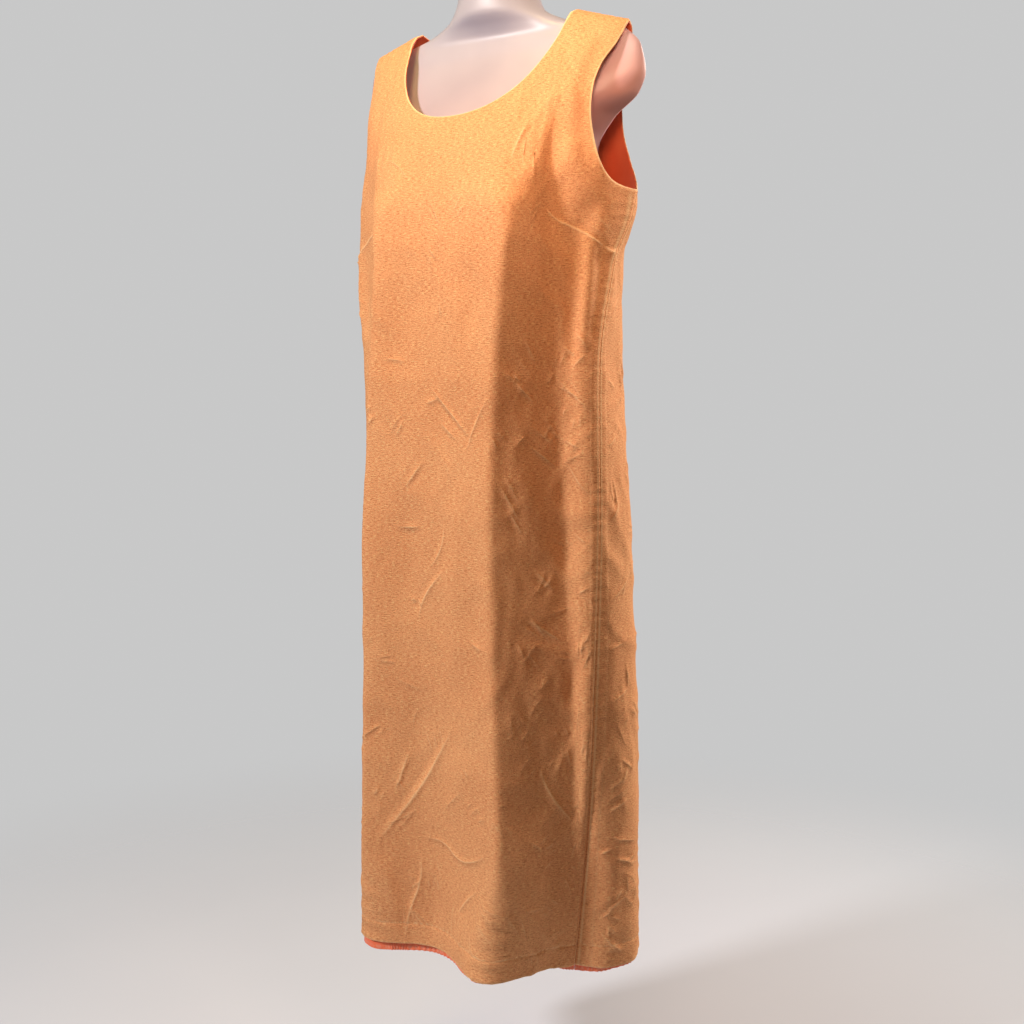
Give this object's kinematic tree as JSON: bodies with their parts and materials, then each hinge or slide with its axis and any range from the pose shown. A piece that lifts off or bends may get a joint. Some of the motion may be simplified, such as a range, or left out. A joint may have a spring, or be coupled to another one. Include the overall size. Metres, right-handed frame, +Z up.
{
  "type": "shift dress on a hanging torso form",
  "caption": "Long sleeveless lined shift dress with a scoop neck, hung on an open-backed torso form with a wire hook.",
  "frame": {"origin": "the inside top of the form's wire hook, where the rail or nail that carries it bears", "axes": "+Z up, against the way it hangs; the dress faces -Y; +X is the wearer's left"},
  "size_m": [0.4204, 0.226, 1.3227],
  "materials": {
    "cloth": "apricot slub plain weave, matt",
    "lining": "coral lining cloth, soft sheen",
    "form": "thin milky moulded plastic, lets some light through",
    "hook": "bright plated wire"
  },
  "bodies": {
    "root": {"dress_front": "cloth", "dress_back": "cloth", "lining_front": "lining", "lining_back": "lining", "form_shell": "form", "hook_wire": "hook", "hook_ferrule": "hook"}
  },
  "joints": []
}
